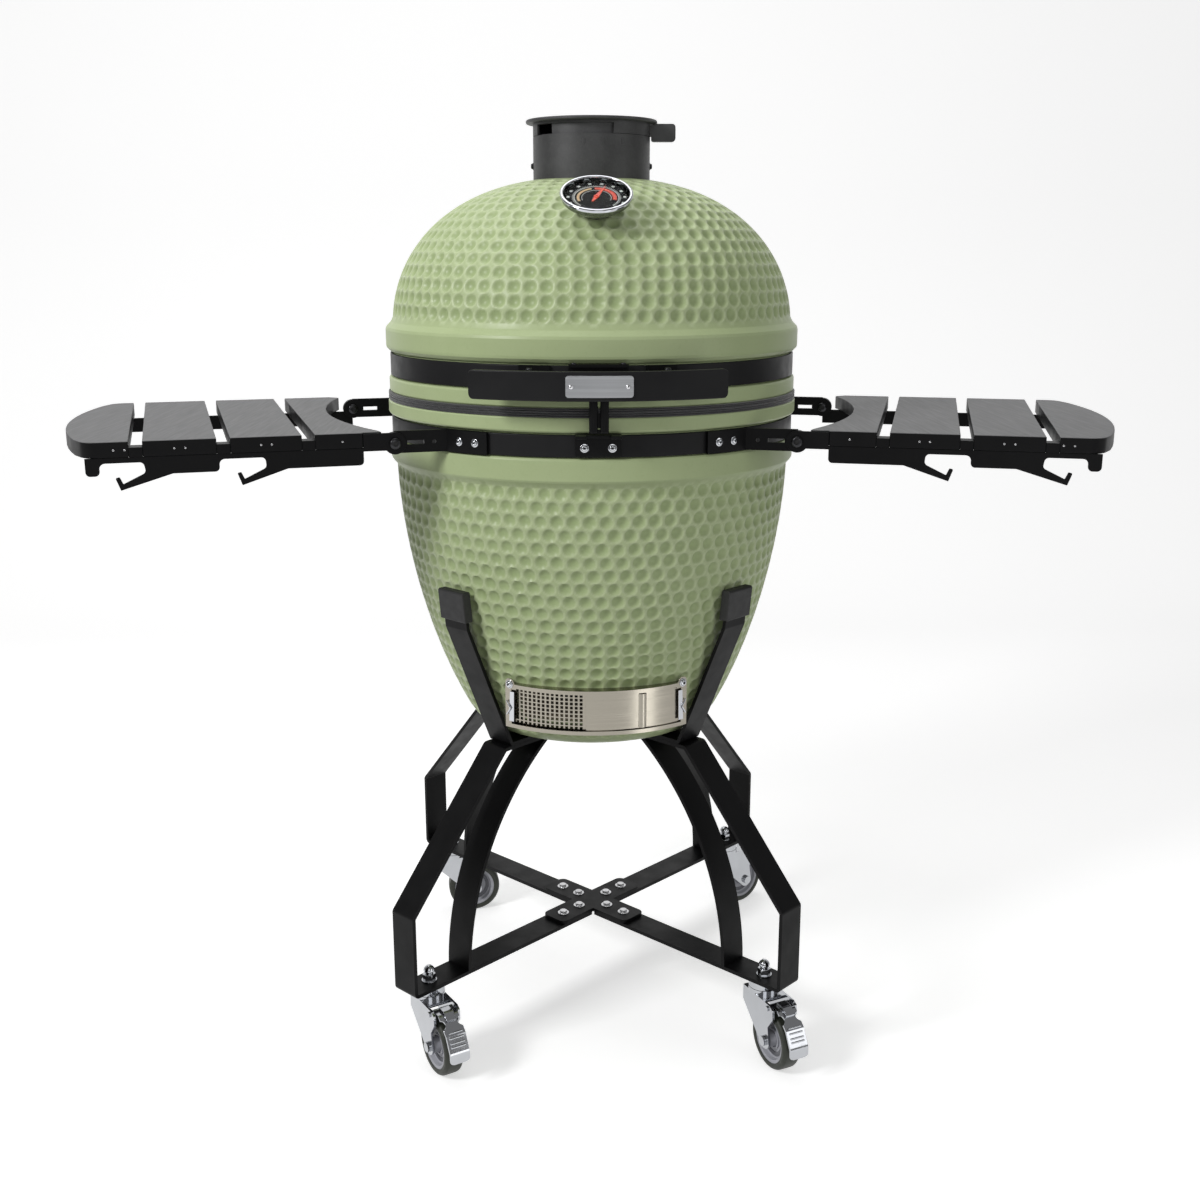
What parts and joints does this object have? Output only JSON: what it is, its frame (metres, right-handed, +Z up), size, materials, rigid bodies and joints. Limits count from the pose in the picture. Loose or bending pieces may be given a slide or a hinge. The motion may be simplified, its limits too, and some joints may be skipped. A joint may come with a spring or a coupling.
{
  "type": "ceramic charcoal grill",
  "caption": "Egg-shaped ceramic charcoal grill with a hinged dimpled lid, thermometer, top and bottom vents, folding slatted side shelves and a wheeled steel stand.",
  "frame": {"origin": "on the floor, centre of the bounding box's underside, which is on the axis of the ceramic body", "axes": "+Z up, front (handle, thermometer and draft vent) faces -Y, +X to the right when facing the grill from the front"},
  "size_m": [1.3306, 0.6196, 1.19],
  "materials": {
    "powder_black": "satin powder coat",
    "ceramic_green": "glazed ceramic, dimpled",
    "fire_clay": "unglazed ceramic",
    "cast_iron": "matt cast",
    "grate_iron": "seasoned cast iron",
    "grate_steel": "polished wire",
    "felt_black": "felt",
    "stainless": "brushed",
    "chrome": "bright",
    "spring_steel": "satin",
    "pad_rubber": "matt",
    "tyre_rubber": "matt",
    "hub_plastic": "satin",
    "slat_grey": "dark grey stained slats",
    "dial_black": "printed dial",
    "dial_glass": "clear",
    "needle_red": "painted"
  },
  "bodies": {
    "stand": {"stand_leg_fl": "powder_black", "stand_leg_fr": "powder_black", "stand_leg_rl": "powder_black", "stand_leg_rr": "powder_black", "cradle_arms": "powder_black", "cradle_pads": "pad_rubber", "cross_plate": "powder_black", "stand_bolts": "chrome", "caster_stems": "chrome", "fire_bowl": "ceramic_green", "fire_box": "fire_clay", "fire_ring": "fire_clay", "charcoal_grate": "grate_iron", "cooking_grate": "grate_steel", "lower_gasket": "felt_black", "base_band": "powder_black", "hinge_base": "powder_black", "hinge_springs": "spring_steel", "hinge_pin": "chrome", "latch_keeper": "powder_black", "vent_frame": "stainless", "base_bolts": "chrome", "shelf_mounts": "powder_black"},
    "lid": {"dome_lid": "ceramic_green", "upper_gasket": "felt_black", "lid_band": "powder_black", "hinge_lid": "powder_black", "handle_bar": "powder_black", "handle_brackets": "powder_black", "name_plate": "stainless", "lid_bolts": "chrome", "thermometer_case": "chrome", "thermometer_dial": "dial_black", "thermometer_glass": "dial_glass", "thermometer_probe": "stainless", "chimney_collar": "cast_iron"},
    "draft_door": {"draft_door": "stainless"},
    "ash_screen": {"ash_screen": "stainless"},
    "thermometer_needle": {"thermometer_needle": "needle_red"},
    "vent_cap": {"vent_cap": "cast_iron"},
    "lid_latch": {"lid_latch": "powder_black"},
    "left_shelf": {"left_shelf_rails": "powder_black", "left_shelf_slats": "slat_grey"},
    "right_shelf": {"right_shelf_rails": "powder_black", "right_shelf_slats": "slat_grey"},
    "caster_fl": {"caster_fl_fork": "chrome"},
    "wheel_fl": {"caster_fl_tyre": "tyre_rubber", "caster_fl_hub": "hub_plastic"},
    "caster_fr": {"caster_fr_fork": "chrome"},
    "wheel_fr": {"caster_fr_tyre": "tyre_rubber", "caster_fr_hub": "hub_plastic"},
    "caster_rl": {"caster_rl_fork": "chrome"},
    "wheel_rl": {"caster_rl_tyre": "tyre_rubber", "caster_rl_hub": "hub_plastic"},
    "caster_rr": {"caster_rr_fork": "chrome"},
    "wheel_rr": {"caster_rr_tyre": "tyre_rubber", "caster_rr_hub": "hub_plastic"},
    "pedal_fl": {"caster_fl_pedal": "chrome"},
    "pedal_fr": {"caster_fr_pedal": "chrome"}
  },
  "joints": [
    {"name": "lid_hinge", "type": "hinge", "parent": "stand", "child": "lid", "pos_m": [0, 0.298, 0.85], "axis": [-1, 0, 0], "range_deg": [0, 75]},
    {"name": "vent_cap_turn", "type": "hinge", "parent": "lid", "child": "vent_cap", "pos_m": [0, 0, 1.18], "axis": [0, 0, 1], "range_deg": [-45, 25]},
    {"name": "thermometer_turn", "type": "hinge", "parent": "lid", "child": "thermometer_needle", "pos_m": [0, -0.2007, 1.08676], "axis": [0, 0.5, -0.866], "range_deg": [-159, 111]},
    {"name": "latch_swing", "type": "hinge", "parent": "lid", "child": "lid_latch", "pos_m": [0, -0.287, 0.885], "axis": [-1, 0, 0], "range_deg": [0, 24]},
    {"name": "draft_door_slide", "type": "hinge", "parent": "stand", "child": "draft_door", "pos_m": [0, -0.039, 0.472], "axis": [0, 0, -1], "range_deg": [0, 33]},
    {"name": "ash_screen_slide", "type": "hinge", "parent": "stand", "child": "ash_screen", "pos_m": [0, -0.039, 0.472], "axis": [0, 0, 1], "range_deg": [0, 36]},
    {"name": "left_shelf_fold", "type": "hinge", "parent": "stand", "child": "left_shelf", "pos_m": [-0.27529, -0.07376, 0.808], "axis": [0.2588, -0.9659, 0], "range_deg": [0, 90]},
    {"name": "right_shelf_fold", "type": "hinge", "parent": "stand", "child": "right_shelf", "pos_m": [0.27529, -0.07376, 0.808], "axis": [0.2588, 0.9659, 0], "range_deg": [0, 90]},
    {"name": "caster_fl_swivel", "type": "hinge", "parent": "stand", "child": "caster_fl", "pos_m": [-0.21708, -0.21708, 0.09], "axis": [0, 0, 1], "continuous": true},
    {"name": "wheel_fl_spin", "type": "hinge", "parent": "caster_fl", "child": "wheel_fl", "pos_m": [-0.20058, -0.24566, 0.04], "axis": [0.866, 0.5, 0], "continuous": true},
    {"name": "pedal_fl_press", "type": "hinge", "parent": "caster_fl", "child": "pedal_fl", "pos_m": [-0.19808, -0.24999, 0.088], "axis": [0.866, 0.5, 0], "range_deg": [0, 8]},
    {"name": "caster_fr_swivel", "type": "hinge", "parent": "stand", "child": "caster_fr", "pos_m": [0.21708, -0.21708, 0.09], "axis": [0, 0, 1], "continuous": true},
    {"name": "wheel_fr_spin", "type": "hinge", "parent": "caster_fr", "child": "wheel_fr", "pos_m": [0.2305, -0.24723, 0.04], "axis": [0.9135, 0.4067, 0], "continuous": true},
    {"name": "pedal_fr_press", "type": "hinge", "parent": "caster_fr", "child": "pedal_fr", "pos_m": [0.23254, -0.2518, 0.088], "axis": [0.9135, 0.4067, 0], "range_deg": [0, 8]},
    {"name": "caster_rl_swivel", "type": "hinge", "parent": "stand", "child": "caster_rl", "pos_m": [-0.21708, 0.21708, 0.09], "axis": [0, 0, 1], "continuous": true},
    {"name": "wheel_rl_spin", "type": "hinge", "parent": "caster_rl", "child": "wheel_rl", "pos_m": [-0.1844, 0.22167, 0.04], "axis": [-0.1392, 0.9903, 0], "continuous": true},
    {"name": "caster_rr_swivel", "type": "hinge", "parent": "stand", "child": "caster_rr", "pos_m": [0.21708, 0.21708, 0.09], "axis": [0, 0, 1], "continuous": true},
    {"name": "wheel_rr_spin", "type": "hinge", "parent": "caster_rr", "child": "wheel_rr", "pos_m": [0.24344, 0.23694, 0.04], "axis": [-0.6018, 0.7986, 0], "continuous": true}
  ]
}
